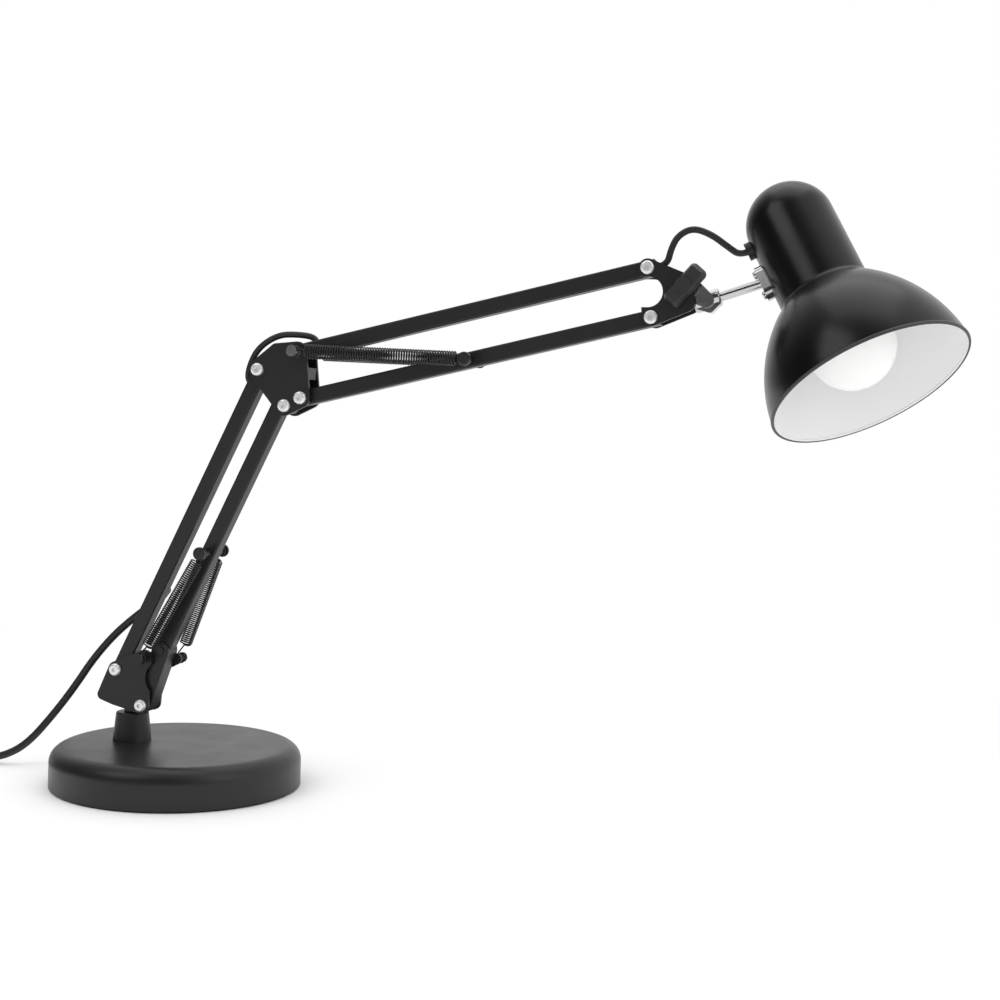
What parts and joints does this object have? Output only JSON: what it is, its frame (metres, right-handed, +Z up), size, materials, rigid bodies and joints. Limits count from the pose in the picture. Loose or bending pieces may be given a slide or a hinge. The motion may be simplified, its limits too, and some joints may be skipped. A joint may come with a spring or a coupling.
{
  "type": "desk lamp",
  "caption": "Balanced-arm desk lamp: weighted round base, swivel, sprung square-tube arms with levelling elbow and head brackets, clamp joint and bell shade over a globe bulb.",
  "frame": {"origin": "centre of the base's underside, on the table", "axes": "+Z up, +X the way the upper arm reaches, -Y towards the viewer"},
  "size_m": [0.8541, 0.183, 0.4323],
  "materials": {
    "black_paint": "satin black powder coat",
    "shade_paint": "satin black outside, white inside",
    "cast_weight": "as cast",
    "soft_pad": "matt",
    "bright_steel": "bright plated",
    "spring_steel": "dark drawn wire",
    "bush_plastic": "plain",
    "black_plastic": "fine grain",
    "cord_sheath": "matt",
    "plated_brass": "nickel plated",
    "opal_glass": "opal"
  },
  "bodies": {
    "base": {"base_cover": "black_paint", "base_weight": "cast_weight", "base_pad": "soft_pad", "base_collar": "black_paint", "collar_screws": "bright_steel", "mains_cord_floor": "cord_sheath", "cord_coil": "cord_sheath", "cord_tie": "cord_sheath", "mains_plug": "black_plastic", "plug_pins": "plated_brass", "cord_switch_case": "black_plastic"},
    "switch_rocker": {"switch_rocker": "black_plastic"},
    "lower_bracket": {"swivel_post": "black_paint", "swivel_washer": "black_paint", "swivel_nut": "bright_steel", "lower_bracket": "black_paint", "lower_pivot_screws": "bright_steel", "lower_pivot_nuts": "bright_steel", "lower_springs": "spring_steel", "mains_cord_lower": "cord_sheath"},
    "lower_rear_arm": {"lower_rear_tube": "black_paint", "lower_rear_bushes": "bush_plastic", "cord_exit_grommet": "cord_sheath", "mains_cord_upper": "cord_sheath"},
    "lower_front_arm": {"lower_front_tube": "black_paint", "front_tube_knuckle": "black_paint", "knuckle_rivet": "black_paint", "front_tube_lug": "black_paint", "lower_front_bushes": "bush_plastic", "lower_spring_pin": "black_paint"},
    "elbow": {"elbow_bracket": "black_paint", "elbow_screws": "bright_steel", "elbow_spring_stud": "bright_steel", "elbow_nuts": "bright_steel", "elbow_lead": "cord_sheath"},
    "upper_top_arm": {"upper_top_tube": "black_paint", "upper_top_bushes": "bush_plastic", "upper_springs": "spring_steel"},
    "upper_spring_ends": {"upper_spring_hooks": "spring_steel"},
    "upper_bottom_arm": {"upper_bottom_tube": "black_paint", "upper_bottom_bushes": "bush_plastic", "upper_spring_pin": "black_paint"},
    "head_bracket": {"head_front_plate": "black_paint", "head_back_plate": "black_paint", "head_screws": "bright_steel", "head_nuts": "bright_steel", "clamp_bolt": "bright_steel", "friction_washers": "bush_plastic", "head_lead": "cord_sheath"},
    "wing_knob": {"wing_knob": "black_plastic"},
    "head_joint": {"head_knuckle": "bright_steel"},
    "lamp_head": {"stem": "bright_steel", "stem_nut": "bright_steel", "stem_saddle": "bright_steel", "saddle_screws": "bright_steel", "shade": "shade_paint", "lamp_holder": "black_plastic", "bulb_cap": "plated_brass", "bulb_glass": "opal_glass", "neck_grommet": "cord_sheath"}
  },
  "joints": [
    {"name": "base_swivel", "type": "hinge", "parent": "base", "child": "lower_bracket", "pos_m": [-0.0365, 0, 0.056], "axis": [0, 0, 1], "range_deg": [-160, 160], "deforming": ["mains_cord_lower"]},
    {"name": "lower_arm", "type": "hinge", "parent": "lower_bracket", "child": "lower_rear_arm", "pos_m": [-0.0455, 0, 0.082], "axis": [0, -1, 0], "range_deg": [-16, 30], "deforming": ["mains_cord_upper"]},
    {"name": "lower_front_arm", "type": "hinge", "parent": "lower_bracket", "child": "lower_front_arm", "pos_m": [-0.02455, 0, 0.05703], "axis": [0, -1, 0], "range_deg": [-16, 30], "deforming": ["lower_springs"]},
    {"name": "elbow_level", "type": "hinge", "parent": "lower_rear_arm", "child": "elbow", "pos_m": [0.06152, 0, 0.30239], "axis": [0, -1, 0], "range_deg": [-30, 16], "deforming": ["elbow_lead"]},
    {"name": "upper_arm", "type": "hinge", "parent": "elbow", "child": "upper_top_arm", "pos_m": [0.09102, 0, 0.31549], "axis": [0, -1, 0], "range_deg": [-30, 30]},
    {"name": "upper_bottom_arm", "type": "hinge", "parent": "elbow", "child": "upper_bottom_arm", "pos_m": [0.09441, 0, 0.28317], "axis": [0, -1, 0], "range_deg": [-30, 30]},
    {"name": "head_level", "type": "hinge", "parent": "upper_top_arm", "child": "head_bracket", "pos_m": [0.33713, 0, 0.37412], "axis": [0, -1, 0], "range_deg": [-30, 30], "deforming": ["head_lead"]},
    {"name": "upper_spring_stretch", "type": "slide", "parent": "upper_top_arm", "child": "upper_spring_ends", "axis": [0.9996, 0, -0.0268], "range_m": [-0.0172, 0.0172], "deforming": ["upper_springs", "upper_spring_hooks"]},
    {"name": "clamp_knob", "type": "hinge", "parent": "head_bracket", "child": "wing_knob", "pos_m": [0.3627, 0, 0.3621], "axis": [0, -1, 0], "range_deg": [-180, 180]},
    {"name": "head_tilt", "type": "hinge", "parent": "head_bracket", "child": "head_joint", "pos_m": [0.3627, 0, 0.3621], "axis": [0, -1, 0], "range_deg": [-40, 50]},
    {"name": "head_roll", "type": "hinge", "parent": "head_joint", "child": "lamp_head", "pos_m": [0.3845, 0, 0.3563], "axis": [0.9511, 0, 0.309], "range_deg": [-58, 97]},
    {"name": "switch_rocker", "type": "hinge", "parent": "base", "child": "switch_rocker", "pos_m": [-0.201, 0.003, 0.0145], "axis": [0, 1, 0], "range_deg": [-8, 8]}
  ],
  "couplings": [
    {"joint": "lower_front_arm", "follows": "lower_arm", "ratio": 1},
    {"joint": "elbow_level", "follows": "lower_arm", "ratio": -1},
    {"joint": "upper_bottom_arm", "follows": "upper_arm", "ratio": 1},
    {"joint": "head_level", "follows": "upper_arm", "ratio": -1},
    {"joint": "upper_spring_stretch", "follows": "upper_arm", "m_per_rad": -0.0322}
  ]
}
